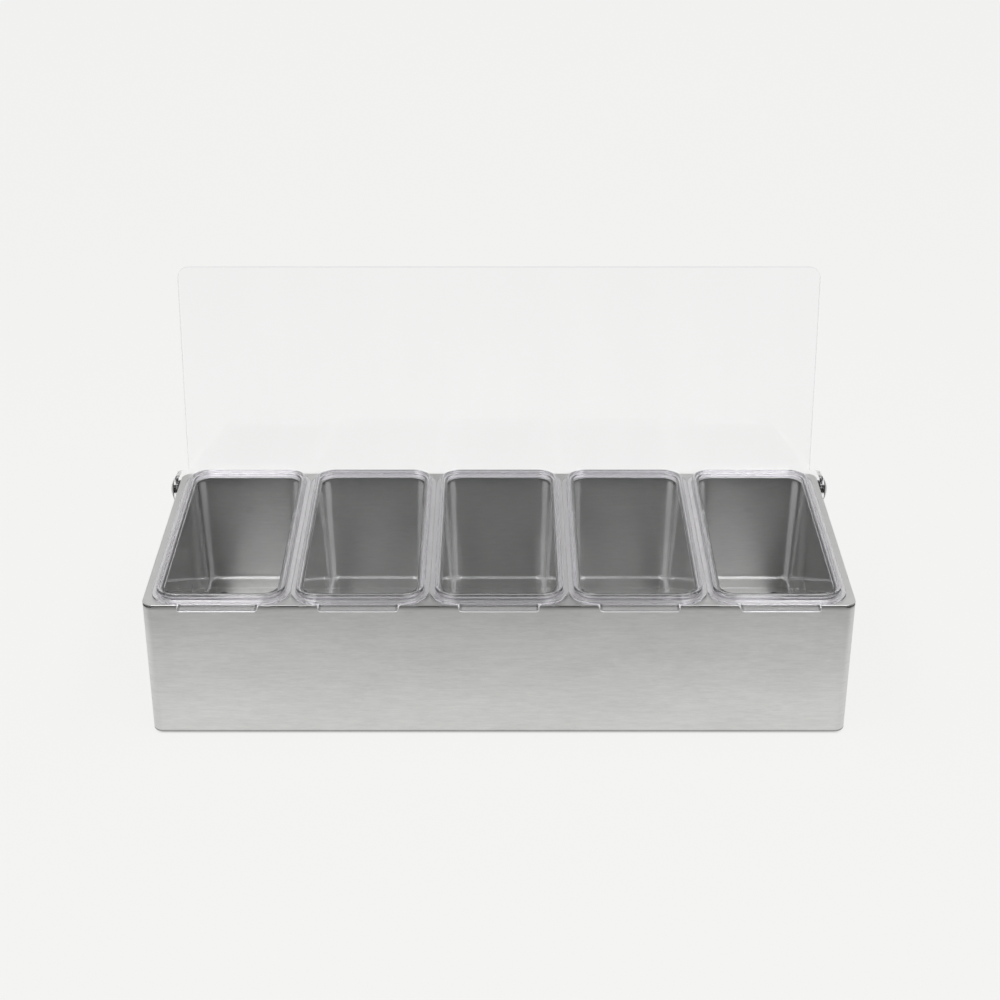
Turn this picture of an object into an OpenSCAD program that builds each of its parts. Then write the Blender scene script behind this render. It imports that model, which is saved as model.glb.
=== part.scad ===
// Condiment caddy: a sheet steel box with a pierced top frame, five lift-out
// clear inserts, and one clear cover hinged on two screws at the back.
// Millimetres, +Z up, -Y to the front. The origin is on the table, under the
// middle of the whole caddy with its cover standing open on its stop.

/* [Body] */
// Width of the steel box
body_w = 476; // [440:1:520]
// Depth of the steel box, front to back
body_d = 195; // [180:1:220]
// Height of the steel box, without its feet
body_h = 100.4; // [96:0.2:130]
// Outer radius of the four upright corners
corner_r = 7.5; // [5:0.5:10]
// Thickness of the steel sheet
sheet_t = 0.8; // [0.6:0.1:1]
// Height of the turned-up edge of the bottom pan
pan_edge_h = 10; // [6:1:12]

/* [Top frame] */
// Open seam between the top frame and the walls
seam_gap = 0.55; // [0.2:0.05:0.7]
// Extra height of the seam at the four corners
corner_relief_h = 0.7; // [0.4:0.1:1.2]
// Depth of the turned-down weld flanges inside the walls
weld_flange_h = 8; // [5:1:12]
// Length of the short weld flanges at the front and back
weld_flange_l = 14; // [10:1:24]
// Steel left bare outside the end inserts
side_strip_w = 4.75; // [3:0.25:8]
// Space between an insert's tub and the edge of its opening
opening_gap = 0.5; // [0.3:0.1:0.8]

/* [Inserts] */
// Gap between the rims of two inserts side by side
insert_gap = 0.3; // [0.3:0.05:0.6]
// Front-to-back length of a rim
rim_d = 193.4; // [176:0.2:219]
// Outer corner radius of the rim
rim_corner_r = 17; // [15:0.5:20]
// Thickness of the flange that rests on the steel
flange_t = 1.4; // [1.2:0.1:2.2]
// Height of the rim above the steel
ridge_h = 5.6; // [5.2:0.1:7]
// Width of the flange outside the raised ridge
ridge_inset = 3.2; // [2.8:0.2:3.6]
// Distance from the rim's edge to the step on the ridge
step_inset = 5.4; // [5:0.2:5.8]
// Drop of the step below the ridge
step_drop = 1.2; // [0.8:0.1:1.6]
// Distance from the rim's edge to the mouth of the tub
mouth_inset = 8.2; // [7.6:0.2:9]
// Wall thickness of the tub
tub_wall = 1.6; // [1.4:0.1:1.8]
// Depth of the tub below the steel top
tub_h = 85; // [70:0.2:86]
// Inward lean of each tub wall, from top to bottom
tub_draft = 3.8; // [2:0.2:5]
// Radius of the fillet round the tub's floor
tub_fillet = 4.5; // [3:0.5:6]

/* [Thumb tabs] */
// Width of a tab where it leaves the rim
tab_root_w = 55.4; // [50:0.2:60]
// Width of a tab at its front edge
tab_tip_w = 53; // [40:0.5:54]
// Reach of a tab in front of the rim
tab_reach = 10.2; // [6:0.2:12]
// Thickness of a tab
tab_t = 1.1; // [1:0.1:1.2]

/* [Cover] */
// Width of the flat panel
cover_w = 468.4; // [430:0.2:512]
// Thickness of the clear sheet
cover_t = 3; // [2.5:0.5:4]
// Distance from the pivot to the cover's front edge
cover_reach = 165.5; // [120:0.5:174]
// Distance from the pivot to the cover's rear edge, which is the stop
cover_tail = 16.8; // [12:0.1:16.8]
// Height of the closed panel's underside over the pivot
cover_rise = 15; // [15:0.1:18]
// Radius of the panel's two front corners
cover_corner_r = 8; // [4:1:12]
// Radius of the round end of each ear
ear_r = 9; // [8:0.5:10]
// Inner radius of the bend between panel and ear
ear_bend_r = 2; // [1:0.5:3]
// Angle between the closed cover and the open one
open_angle = 97.6; // [90:0.1:97.6]

/* [Hinge] */
// Distance from the pivot to the back of the box
pivot_from_back = 12.5; // [12.5:0.1:12.6]
// Distance from the pivot to the top of the box
pivot_from_top = 6.6; // [6.6:0.1:7]
// Diameter of the screw's smooth shoulder
shoulder_d = 6; // [5:0.5:7]
// Diameter of the screw's threaded end
thread_d = 4; // [3:0.5:4]
// Radial clearance of every shank in its hole
shank_gap = 0.05; // [0.02:0.01:0.1]
// Diameter of the domed screw head
head_d = 16; // [14:0.5:18]
// Height of the domed screw head
head_h = 2.4; // [1.8:0.1:3]
// Thickness of the plastic washer between ear and wall
spacer_t = 0.9; // [0.7:0.1:1.2]
// Thickness of the plastic washer under the head
head_washer_t = 0.5; // [0.4:0.1:0.8]
// Diameter of both plastic washers
plastic_washer_d = 13; // [12:0.5:14]
// Diameter of the steel washer inside the wall
inner_washer_d = 10; // [9:0.5:11]
// Thickness of the steel washer inside the wall
inner_washer_t = 0.8; // [0.6:0.1:1]
// Width of the lock nut across its flats
nut_flats = 7; // [6.5:0.5:8]
// Height of the lock nut
nut_h = 5; // [4:0.5:5]

/* [Feet] */
// Diameter of a rubber foot
foot_d = 17; // [14:1:20]
// Height of a rubber foot
foot_h = 2; // [1.5:0.5:4]
// Distance from a foot's centre to the side of the box
foot_from_side = 26.5; // [20:0.5:40]
// Distance from a foot's centre to the front or back of the box
foot_from_edge = 14.5; // [12:0.5:30]
// Diameter of a foot's push-in stem
stem_d = 6; // [4:0.5:7]

/* [Hidden] */
middle_y = 8.9; // middle of the open caddy, from the middle of the steel box
$fn = 64;

steel_color = [0.74, 0.74, 0.73];
clear_color = [0.86, 0.86, 0.90, 0.35];
cover_color = [0.90, 0.91, 0.92, 0.25];
screw_color = [0.82, 0.82, 0.82];
black_color = [0.07, 0.07, 0.07];
rubber_color = [0.12, 0.12, 0.12];

LEFT = -1;
RIGHT = 1;
FRONT = -1;
BACK = 1;
INSERT_COUNT = 5;
CUT = 1; // how far a cutting shape runs past the face that it cuts
FIT = 0.05; // gap between two welded or pressed sheets
TURN_GAP = 0.1; // gap on each side of the ear, so that it turns freely

top_z = foot_h + body_h;
pivot_y = body_d / 2 - pivot_from_back;
pivot_z = top_z - pivot_from_top;
shank_hole_r = thread_d / 2 + shank_gap;

// Inserts: pitch, rim and the three outlines of the moulding
insert_pitch = (body_w - 2 * side_strip_w) / INSERT_COUNT;
rim_w = insert_pitch - insert_gap;
ridge_ease = 0.4; // how much fuller each inner corner is than a parallel one
step_ease = 0.6;
mouth_ease = 1.6;
ridge_r = rim_corner_r - ridge_inset + ridge_ease;
step_r = rim_corner_r - step_inset + step_ease;
mouth_r = rim_corner_r - mouth_inset + mouth_ease;
mouth_w = rim_w - 2 * mouth_inset;
mouth_d = rim_d - 2 * mouth_inset;
tub_bottom_r = 6.5; // inner corner radius at the floor
tub_floor_z = top_z - tub_h;
mouth_z = top_z + ridge_h - step_drop;
opening_w = mouth_w + 2 * (tub_wall + opening_gap);
opening_d = mouth_d + 2 * (tub_wall + opening_gap);
opening_r = mouth_r + tub_wall;
HULL_FN = 32;
FILLET_STEPS = 3;
SLICE = 0.01; // thickness of the thin slices that the tub is hulled from

// Cover: ear and bend, measured out from the middle of the box
ear_inner_x = body_w / 2 + spacer_t + TURN_GAP;
ear_outer_x = ear_inner_x + cover_t;
bend_x = ear_outer_x - cover_t - ear_bend_r;

// Screw: heights measured out from the wall's outer face
head_washer_z = spacer_t + TURN_GAP + cover_t + TURN_GAP;
head_z = head_washer_z + head_washer_t;
head_sphere_r = (pow(head_d / 2, 2) + head_h * head_h) / (2 * head_h);
recess_w = 1.1;
recess_l = 5;
recess_depth = 1.3;
thread_end = 1.2; // thread showing past the nut

// Steel: weld flanges on the two sides
side_flange_w = body_d / 2;

// Feet and tabs
stem_bulge_d = stem_d + 2;
stem_bulge_h = 2.5;
foot_taper = 1; // how much narrower the face is than the top
tab_tip_r = 2.6;

// Lock nut
nut_collar_h = 1.2;
nut_corner_d = nut_flats / cos(30);

module rounded_rect(w, d, r) {
  square([w - 2 * r, d], center = true);
  square([w, d - 2 * r], center = true);
  for (sx = [-1, 1], sy = [-1, 1])
    translate([sx * (w / 2 - r), sy * (d / 2 - r)])
      circle(r = r);
}

module plate(w, d, r, h) {
  linear_extrude(h)
    rounded_rect(w, d, r);
}

// A plain ring between two rounded outlines, inset_b inside inset_a.
module rim_ring(r_a, inset_a, r_b, inset_b, h) {
  linear_extrude(h)
    difference() {
      rounded_rect(rim_w - 2 * inset_a, rim_d - 2 * inset_a, r_a);
      rounded_rect(rim_w - 2 * inset_b, rim_d - 2 * inset_b, r_b);
    }
}

// Puts its children at a hinge, with local +Z pointing out of the side wall.
module at_hinge(side) {
  translate([side * body_w / 2, pivot_y, pivot_z])
    rotate([0, 90 * side, 0])
      children();
}

// ---- steel box ----

module body_shell() {
  wall_h = body_h - sheet_t - seam_gap;
  color(steel_color)
    difference() {
      translate([0, 0, foot_h])
        plate(body_w, body_d, corner_r, wall_h);
      translate([0, 0, foot_h - CUT])
        plate(body_w - 2 * sheet_t, body_d - 2 * sheet_t, corner_r - sheet_t, wall_h + 2 * CUT);
      for (side = [LEFT, RIGHT])
        at_hinge(side)
          translate([0, 0, -sheet_t - CUT])
            cylinder(r = shank_hole_r, h = sheet_t + 2 * CUT);
      for (sx = [-1, 1], sy = [-1, 1])
        translate([sx * body_w / 2, sy * body_d / 2, foot_h + wall_h])
          cube([2 * corner_r, 2 * corner_r, 2 * corner_relief_h], center = true);
    }
}

module weld_flange(w, d) {
  translate([0, 0, top_z - sheet_t - weld_flange_h / 2])
    cube([w, d, weld_flange_h], center = true);
}

module top_frame() {
  wall_to_middle = sheet_t + FIT + sheet_t / 2; // from the box's side to the middle of a flange
  flange_x = body_w / 2 - wall_to_middle;
  flange_y = body_d / 2 - wall_to_middle;
  color(steel_color) {
    difference() {
      translate([0, 0, top_z - sheet_t])
        plate(body_w, body_d, corner_r, sheet_t);
      for (i = [1:INSERT_COUNT])
        translate([insert_x(i), 0, top_z - sheet_t - CUT])
          plate(opening_w, opening_d, opening_r, sheet_t + 2 * CUT);
    }
    for (i = [1:INSERT_COUNT - 1], sy = [-1, 1])
      translate([insert_x(i + 0.5), sy * flange_y, 0])
        weld_flange(weld_flange_l, sheet_t);
    for (sx = [-1, 1])
      translate([sx * flange_x, 0, 0])
        weld_flange(sheet_t, side_flange_w);
  }
}

module bottom_pan() {
  pan_w = body_w - 2 * (sheet_t + FIT);
  pan_d = body_d - 2 * (sheet_t + FIT);
  pan_r = corner_r - sheet_t - FIT;
  color(steel_color)
    difference() {
      translate([0, 0, foot_h])
        plate(pan_w, pan_d, pan_r, pan_edge_h);
      translate([0, 0, foot_h + sheet_t])
        plate(pan_w - 2 * sheet_t, pan_d - 2 * sheet_t, pan_r - sheet_t, pan_edge_h);
      for (sx = [LEFT, RIGHT], sy = [FRONT, BACK])
        translate([foot_x(sx), foot_y(sy), foot_h - CUT])
          cylinder(r = stem_d / 2 + FIT, h = sheet_t + 2 * CUT);
    }
}

function foot_x(sx) = sx * (body_w / 2 - foot_from_side);
function foot_y(sy) = sy * (body_d / 2 - foot_from_edge);

module foot(sx, sy) {
  color(rubber_color)
    translate([foot_x(sx), foot_y(sy), 0]) {
      cylinder(d1 = foot_d - foot_taper, d2 = foot_d, h = foot_h);
      cylinder(d = stem_d, h = foot_h + sheet_t + stem_bulge_h);
      translate([0, 0, foot_h + sheet_t])
        cylinder(d1 = stem_bulge_d, d2 = stem_d, h = stem_bulge_h);
    }
}

// ---- lift-out inserts ----

function insert_x(i) = (i - (INSERT_COUNT + 1) / 2) * insert_pitch;

// One thin slice of the tub, at height z over its floor, grown by the wall.
module tub_slice(z, inset, grow) {
  lean = tub_draft * (1 - z / (mouth_z - tub_floor_z)) + inset - grow;
  corner = tub_bottom_r + (mouth_r - tub_bottom_r) * z / (mouth_z - tub_floor_z);
  translate([0, 0, z])
    linear_extrude(SLICE)
      rounded_rect(mouth_w - 2 * lean, mouth_d - 2 * lean, max(corner + grow - inset, 1), $fn = HULL_FN);
}

// A leaning tub with a fillet round its floor, from bottom_z up to height h.
module tub_solid(bottom_z, h, grow) {
  fillet = tub_fillet + grow;
  hull() {
    for (k = [0:FILLET_STEPS]) {
      turn = 90 * k / FILLET_STEPS;
      tub_slice(bottom_z + fillet * (1 - cos(turn)), fillet * (1 - sin(turn)), grow, $fn = HULL_FN);
    }
    tub_slice(bottom_z + h, 0, grow, $fn = HULL_FN);
  }
}

module thumb_tab() {
  root_y = -rim_d / 2 + ridge_inset;
  tip_y = -rim_d / 2 - tab_reach;
  shoulder_y = -rim_d / 2;
  linear_extrude(tab_t)
    union() {
      polygon([
        [-tab_root_w / 2, root_y], [-tab_root_w / 2, shoulder_y],
        [-tab_tip_w / 2, tip_y + tab_tip_r], [-tab_tip_w / 2 + tab_tip_r, tip_y],
        [tab_tip_w / 2 - tab_tip_r, tip_y], [tab_tip_w / 2, tip_y + tab_tip_r],
        [tab_root_w / 2, shoulder_y], [tab_root_w / 2, root_y]
      ]);
      for (sx = [-1, 1])
        translate([sx * (tab_tip_w / 2 - tab_tip_r), tip_y + tab_tip_r])
          circle(r = tab_tip_r);
    }
}

module insert(i) {
  tub_h_all = mouth_z - tub_floor_z;
  color(clear_color)
    translate([insert_x(i), 0, 0]) {
      translate([0, 0, top_z]) {
        rim_ring(rim_corner_r, 0, mouth_r, mouth_inset, flange_t);
        thumb_tab();
      }
      translate([0, 0, top_z + flange_t])
        rim_ring(ridge_r, ridge_inset, mouth_r, mouth_inset, ridge_h - step_drop - flange_t);
      translate([0, 0, mouth_z])
        rim_ring(ridge_r, ridge_inset, step_r, step_inset, step_drop);
      translate([0, 0, tub_floor_z])
        difference() {
          tub_solid(0, tub_h_all, tub_wall);
          tub_solid(tub_wall, tub_h_all, 0);
        }
    }
}

// ---- hinged cover ----

module cover_panel() {
  y_front = -cover_reach;
  length = cover_reach + cover_tail;
  translate([0, 0, cover_rise])
    linear_extrude(cover_t)
      union() {
        translate([-cover_w / 2, y_front + cover_corner_r])
          square([cover_w, length - cover_corner_r]);
        translate([-cover_w / 2 + cover_corner_r, y_front])
          square([cover_w - 2 * cover_corner_r, length]);
        for (sx = [-1, 1])
          translate([sx * (cover_w / 2 - cover_corner_r), y_front + cover_corner_r])
            circle(r = cover_corner_r);
        translate([-bend_x, -ear_r])
          square([2 * bend_x, 2 * ear_r]);
      }
}

// The right ear: a quarter bend from the panel, then a flat lug with its bore.
module cover_ear() {
  bend_z = cover_rise - ear_bend_r;
  translate([bend_x, 0, bend_z])
    rotate([90, 0, 0])
      rotate_extrude(angle = 90)
        translate([ear_bend_r, -ear_r])
          square([cover_t, 2 * ear_r]);
  translate([ear_inner_x, 0, 0])
    rotate([90, 0, 90])
      linear_extrude(cover_t)
        union() {
          circle(r = ear_r);
          translate([-ear_r, 0])
            square([2 * ear_r, bend_z]);
        }
}

module cover() {
  color(cover_color)
    translate([0, pivot_y, pivot_z])
      rotate([-open_angle, 0, 0])
        difference() {
          union() {
            cover_panel();
            cover_ear();
            mirror([1, 0, 0])
              cover_ear();
          }
          rotate([0, 90, 0])
            for (side = [LEFT, RIGHT])
              translate([0, 0, side * (ear_inner_x + cover_t / 2)])
                cylinder(r = shoulder_d / 2 + shank_gap, h = cover_t + 2 * CUT, center = true);
        }
}

// ---- hinge hardware ----

module washer(outer_d, hole_r, h) {
  difference() {
    cylinder(d = outer_d, h = h);
    translate([0, 0, -CUT])
      cylinder(r = hole_r, h = h + 2 * CUT);
  }
}

module pivot_screw(side) {
  thread_l = sheet_t + inner_washer_t + nut_h + thread_end;
  color(screw_color)
    at_hinge(side) {
      cylinder(d = shoulder_d, h = head_z);
      translate([0, 0, -thread_l])
        cylinder(d = thread_d, h = thread_l);
      translate([0, 0, head_z])
        difference() {
          intersection() {
            cylinder(d = head_d, h = head_h);
            translate([0, 0, head_h - head_sphere_r])
              sphere(r = head_sphere_r, $fn = 128);
          }
          for (turn = [0, 90])
            rotate(turn)
              translate([0, 0, head_h])
                cube([recess_l, recess_w, 2 * recess_depth], center = true);
        }
    }
}

module head_washer(side) {
  color(black_color)
    at_hinge(side)
      translate([0, 0, head_washer_z])
        washer(plastic_washer_d, shoulder_d / 2 + shank_gap, head_washer_t);
}

module spacer_washer(side) {
  color(black_color)
    at_hinge(side)
      washer(plastic_washer_d, shoulder_d / 2 + shank_gap, spacer_t);
}

module inner_washer(side) {
  color(screw_color)
    at_hinge(side)
      translate([0, 0, -sheet_t - inner_washer_t])
        washer(inner_washer_d, shank_hole_r, inner_washer_t);
}

module lock_nut(side) {
  color(screw_color)
    at_hinge(side)
      translate([0, 0, -sheet_t - inner_washer_t - nut_h])
        difference() {
          union() {
            cylinder(d = nut_flats, h = nut_h);
            translate([0, 0, nut_collar_h])
              cylinder(d = nut_corner_d, h = nut_h - nut_collar_h, $fn = 6);
          }
          translate([0, 0, -CUT])
            cylinder(r = shank_hole_r, h = nut_h + 2 * CUT);
        }
}

// Moves a node from the middle of the steel box to the middle of the caddy.
module placed() {
  translate([0, -middle_y, 0])
    children();
}

placed() body_shell();
placed() top_frame();
placed() bottom_pan();
placed() insert(1);  // insert_1
placed() insert(2);  // insert_2
placed() insert(3);  // insert_3
placed() insert(4);  // insert_4
placed() insert(5);  // insert_5
placed() cover();
placed() pivot_screw(LEFT);  // pivot_screw_left
placed() pivot_screw(RIGHT);  // pivot_screw_right
placed() head_washer(LEFT);  // head_washer_left
placed() head_washer(RIGHT);  // head_washer_right
placed() spacer_washer(LEFT);  // spacer_washer_left
placed() spacer_washer(RIGHT);  // spacer_washer_right
placed() inner_washer(LEFT);  // inner_washer_left
placed() inner_washer(RIGHT);  // inner_washer_right
placed() lock_nut(LEFT);  // lock_nut_left
placed() lock_nut(RIGHT);  // lock_nut_right
placed() foot(LEFT, FRONT);  // foot_front_left
placed() foot(RIGHT, FRONT);  // foot_front_right
placed() foot(LEFT, BACK);  // foot_back_left
placed() foot(RIGHT, BACK);  // foot_back_right
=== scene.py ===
"""Condiment caddy: a brushed steel box, five lift-out clear inserts and one clear hinged cover."""

import logging
import math
from dataclasses import dataclass, replace
from enum import Enum

import bmesh
import bpy
from mathutils import Matrix, Vector

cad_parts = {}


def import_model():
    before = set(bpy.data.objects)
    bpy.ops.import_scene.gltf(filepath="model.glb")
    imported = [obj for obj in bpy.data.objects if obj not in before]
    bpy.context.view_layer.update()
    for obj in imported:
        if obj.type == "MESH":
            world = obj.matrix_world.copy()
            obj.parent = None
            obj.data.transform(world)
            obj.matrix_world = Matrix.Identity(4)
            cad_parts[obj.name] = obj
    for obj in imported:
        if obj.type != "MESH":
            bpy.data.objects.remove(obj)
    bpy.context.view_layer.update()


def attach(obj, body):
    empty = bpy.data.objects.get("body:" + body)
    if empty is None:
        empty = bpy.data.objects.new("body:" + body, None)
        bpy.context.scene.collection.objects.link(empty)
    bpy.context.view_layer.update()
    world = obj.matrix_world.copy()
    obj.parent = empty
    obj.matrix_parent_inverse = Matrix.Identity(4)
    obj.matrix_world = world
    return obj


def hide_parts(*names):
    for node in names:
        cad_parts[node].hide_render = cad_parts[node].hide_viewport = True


LOG = logging.getLogger("caddy")
MM = 0.001  # sizes are written in millimetres, and Blender works in metres
ON_AXIS = 1e-9  # a smaller radius counts as none
STRAIGHT = 0.02  # a corner this near to straight, in radians, isn't softened
LONGEST_REACH = 0.48  # the share of a side that one softened corner may take
WHITE = (1.0, 1.0, 1.0)

Triple = tuple[float, float, float]
Socket = bpy.types.NodeSocket
Ring = list[bmesh.types.BMVert]


class Body(Enum):
    """The bodies that pieces ride on, apart from the inserts, which are bodies of their own."""

    CADDY = "caddy"
    COVER = "cover"


class Slot(Enum):
    """The record's material slots."""

    STEEL = "brushed_steel"
    INSERT = "clear_insert"
    COVER = "clear_cover"
    SCREW = "screw_steel"
    NYLON = "black_nylon"
    RUBBER = "foot_rubber"


class Side(Enum):
    """The two ends of the caddy, and of its hinge line."""

    LEFT = -1
    RIGHT = 1


class Row(Enum):
    """The two rows of feet."""

    FRONT = -1
    BACK = 1


class Grain(Enum):
    """A way of brushing: cycles per metre along x, y and z, and its tangent's axis and turn."""

    ROUND_THE_WALLS = ((80.0, 80.0, 560.0), "Z", 0.25)
    ALONG_THE_TOP = ((80.0, 560.0, 560.0), "X", 0.0)


@dataclass(frozen=True)
class CaddyPlan:
    """The sizes that several sub-assemblies share, in millimetres.

    Everything is drawn from the middle of the steel box. The frame's own middle lies
    middle_y further back.
    """

    width: float = 476.0
    depth: float = 195.0
    height: float = 100.4
    foot_height: float = 2.0
    foot_inset: tuple[float, float] = (26.5, 14.5)
    corner_radius: float = 7.5
    sheet: float = 0.8
    pivot_y: float = 85.0
    pivot_z: float = 95.8
    middle_y: float = 8.9

    @property
    def top(self) -> float:
        """Height of the steel top over the table."""
        return self.foot_height + self.height

    @property
    def outline(self) -> "RoundedOutline":
        """The box's outline in the frame's own coordinates."""
        return RoundedOutline(self.width, self.depth, self.corner_radius, y=-self.middle_y)

    def foot_middle(self, side: Side, row: Row) -> tuple[float, float]:
        """The x and y of the middle of one foot."""
        across, along = self.foot_inset
        return side.value * (self.width / 2 - across), row.value * (self.depth / 2 - along)


# ---- drawing aids ----


def round_point(
    radius: float, height: float, turn: float, x: float = 0.0, y: float = 0.0
) -> Vector:
    """The point on a level circle round (x, y), after a share of a full turn from +X."""
    angle = 2 * math.pi * turn
    return Vector((x + radius * math.cos(angle), y + radius * math.sin(angle), height))


@dataclass(frozen=True)
class RoundedOutline:
    """A rounded rectangle seen from above, in millimetres."""

    width: float
    depth: float
    radius: float
    x: float = 0.0
    y: float = 0.0

    def grown(self, by: float) -> "RoundedOutline":
        """The outline moved outwards by that much."""
        width, depth = self.width + 2 * by, self.depth + 2 * by
        return RoundedOutline(width, depth, max(self.radius + by, 0.05), self.x, self.y)

    def points(self, z: float, arc_steps: int = 12, side_steps: int = 8) -> list[Vector]:
        """Walks round the outline once, the same way and with the same count for every outline.

        Args:
            z: Height of the points.
            arc_steps: Steps in each corner's quarter turn.
            side_steps: Steps along each straight side.

        Returns:
            The points, anticlockwise from the start of the front right corner.
        """
        half_w, half_d = self.width / 2 - self.radius, self.depth / 2 - self.radius
        arcs = []
        for quarter, (sx, sy) in enumerate(((1, -1), (1, 1), (-1, 1), (-1, -1))):
            x, y = self.x + sx * half_w, self.y + sy * half_d
            turns = [(quarter - 1 + k / arc_steps) / 4 for k in range(arc_steps + 1)]
            arcs.append([round_point(self.radius, z, turn, x, y) for turn in turns])
        walk = []
        for quarter, arc in enumerate(arcs):
            following = arcs[(quarter + 1) % len(arcs)][0]
            walk += arc
            walk += [arc[-1].lerp(following, k / side_steps) for k in range(1, side_steps)]
        return walk


@dataclass(frozen=True)
class Corner:
    """One corner of a cut section: where it is, and the radius that softens it."""

    across: float
    z: float
    soften: float = 0.0
    plan_radius: float = 0.0


def softened(corners: list[Corner], steps: int = 4) -> list[Corner]:
    """Rounds each inner corner of a section with a short arc.

    Args:
        corners: The section's sharp corners in order.
        steps: Steps in each arc.

    Returns:
        The rounded section, ends included.
    """
    section = [corners[0]]
    for before, here, after in zip(corners, corners[1:], corners[2:]):
        to_before = Vector((before.across - here.across, before.z - here.z))
        to_after = Vector((after.across - here.across, after.z - here.z))
        opening = to_before.angle(to_after)
        if here.soften <= 0 or opening > math.pi - STRAIGHT:
            section.append(here)
            continue
        reach = min(
            here.soften / math.tan(opening / 2),
            LONGEST_REACH * to_before.length,
            LONGEST_REACH * to_after.length,
        )
        first = to_before.normalized() * reach
        last = to_after.normalized() * reach
        for k in range(steps + 1):
            t = k / steps
            bend = first * (1 - t) ** 2 + last * t**2
            near, share = (before, (1 - t) ** 2) if t < 0.5 else (after, t**2)
            length = to_before.length if t < 0.5 else to_after.length
            drift = (near.plan_radius - here.plan_radius) * share * reach / length
            section.append(
                Corner(here.across + bend.x, here.z + bend.y, 0.0, here.plan_radius + drift)
            )
    section.append(corners[-1])
    return section


class MeshDraft:
    """A mesh in the making: rings of points in millimetres, joined by faces."""

    def __init__(self) -> None:
        """Starts an empty mesh."""
        self.bm = bmesh.new()

    def ring(self, points: list[Vector]) -> Ring:
        """Adds the points of one ring and returns its vertices."""
        return [self.bm.verts.new(p) for p in points]

    def loft(self, rings: list[list[Vector]], closed: bool = False) -> list[Ring]:
        """Joins rings of equal count, each to the next.

        Args:
            rings: The rings' points in order.
            closed: Whether the last ring joins the first.

        Returns:
            The vertices of each ring.
        """
        made = [self.ring(points) for points in rings]
        pairs = list(zip(made, made[1:]))
        if closed:
            pairs.append((made[-1], made[0]))
        for lower, upper in pairs:
            for k in range(len(lower)):
                n = (k + 1) % len(lower)
                self.bm.faces.new((lower[k], lower[n], upper[n], upper[k]))
        return made

    def cap(self, ring: Ring) -> None:
        """Closes a flat ring with one face."""
        self.bm.faces.new(ring)

    def fill(self, loops: list[Ring]) -> None:
        """Fills a flat outline that has holes in it.

        Args:
            loops: The outline's ring and each hole's ring.
        """
        edges = []
        for loop in loops:
            for k, vert in enumerate(loop):
                pair = (vert, loop[(k + 1) % len(loop)])
                edges.append(self.bm.edges.get(pair) or self.bm.edges.new(pair))
        bmesh.ops.triangle_fill(self.bm, use_beauty=True, edges=edges)

    def turn(self, profile: list[tuple[float, float]], place: Matrix, steps: int = 56) -> None:
        """Turns a profile into a round solid.

        Args:
            profile: Radius and height of each point. A profile that starts and ends on the
                axis is capped there, and any other one is closed on itself.
            place: Where the solid's own frame stands.
            steps: Steps in the full turn.
        """
        solid = profile[0][0] < ON_AXIS and profile[-1][0] < ON_AXIS
        inner = profile[1:-1] if solid else profile
        rings = [[place @ round_point(r, h, k / steps) for k in range(steps)] for r, h in inner]
        made = self.loft(rings, closed=not solid)
        if solid:
            for ring, (_, h) in ((made[0], profile[0]), (made[-1], profile[-1])):
                middle = self.bm.verts.new(place @ Vector((0, 0, h)))
                for k in range(steps):
                    self.bm.faces.new((ring[k], ring[(k + 1) % steps], middle))

    def slab(self, low: Vector, high: Vector, edge: float) -> None:
        """Adds a block with softened edges.

        Args:
            low: Its lowest corner.
            high: Its highest corner.
            edge: Width of the softened edges.
        """
        place = Matrix.Translation((high + low) / 2) @ Matrix.Diagonal((*(high - low), 1))
        block = bmesh.ops.create_cube(self.bm, size=1, matrix=place)
        edges = list(dict.fromkeys(e for v in block["verts"] for e in v.link_edges))
        bmesh.ops.bevel(
            self.bm, geom=edges, offset=edge, segments=3, profile=0.5, affect="EDGES"
        )

    def piece(self, name: str) -> bpy.types.Object:
        """Turns the draft into an object in metres, with every face turned outwards."""
        bmesh.ops.recalc_face_normals(self.bm, faces=self.bm.faces)
        return self.sheet_piece(name)

    def sheet_piece(self, name: str) -> bpy.types.Object:
        """Turns the draft into an object in metres, with the faces as they were drawn.

        Args:
            name: The object's name.

        Returns:
            The object.
        """
        bmesh.ops.scale(self.bm, vec=(MM, MM, MM), verts=self.bm.verts)
        mesh = bpy.data.meshes.new(name)
        self.bm.to_mesh(mesh)
        self.bm.free()
        made = bpy.data.objects.new(name, mesh)
        bpy.context.scene.collection.objects.link(made)
        return made


def settle(piece: bpy.types.Object) -> None:
    """Applies the modifiers that shape a piece.

    Args:
        piece: The piece.
    """
    shaped = piece.evaluated_get(bpy.context.evaluated_depsgraph_get())
    mesh = bpy.data.meshes.new_from_object(shaped)
    piece.modifiers.clear()
    piece.data = mesh


def smooth(piece: bpy.types.Object, sharp_from: float = 50.0) -> None:
    """Shades a piece smooth, and keeps its wide flats flat.

    Args:
        piece: The piece.
        sharp_from: The turn between two faces from which their edge stays sharp, in degrees.
    """
    piece.data.shade_smooth()
    piece.data.set_sharp_from_angle(angle=math.radians(sharp_from))
    flats = piece.modifiers.new("flats", "WEIGHTED_NORMAL")
    flats.mode = "FACE_AREA_WITH_ANGLE"
    flats.weight = 60
    flats.keep_sharp = True


def cut_away(piece: bpy.types.Object, cutter: bpy.types.Object) -> None:
    """Cuts one solid out of a piece and removes the cutter.

    Args:
        piece: The piece.
        cutter: The solid to cut out.
    """
    cut = piece.modifiers.new("cut", "BOOLEAN")
    cut.operation = "DIFFERENCE"
    cut.solver = "EXACT"
    cut.object = cutter
    settle(piece)
    bpy.data.objects.remove(cutter)


# ---- finishes ----


@dataclass(frozen=True)
class Fade:
    """A level that runs from low at start to high at end, and stays the same beyond them."""

    start: float
    end: float
    low: float = 0.0
    high: float = 1.0


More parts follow.
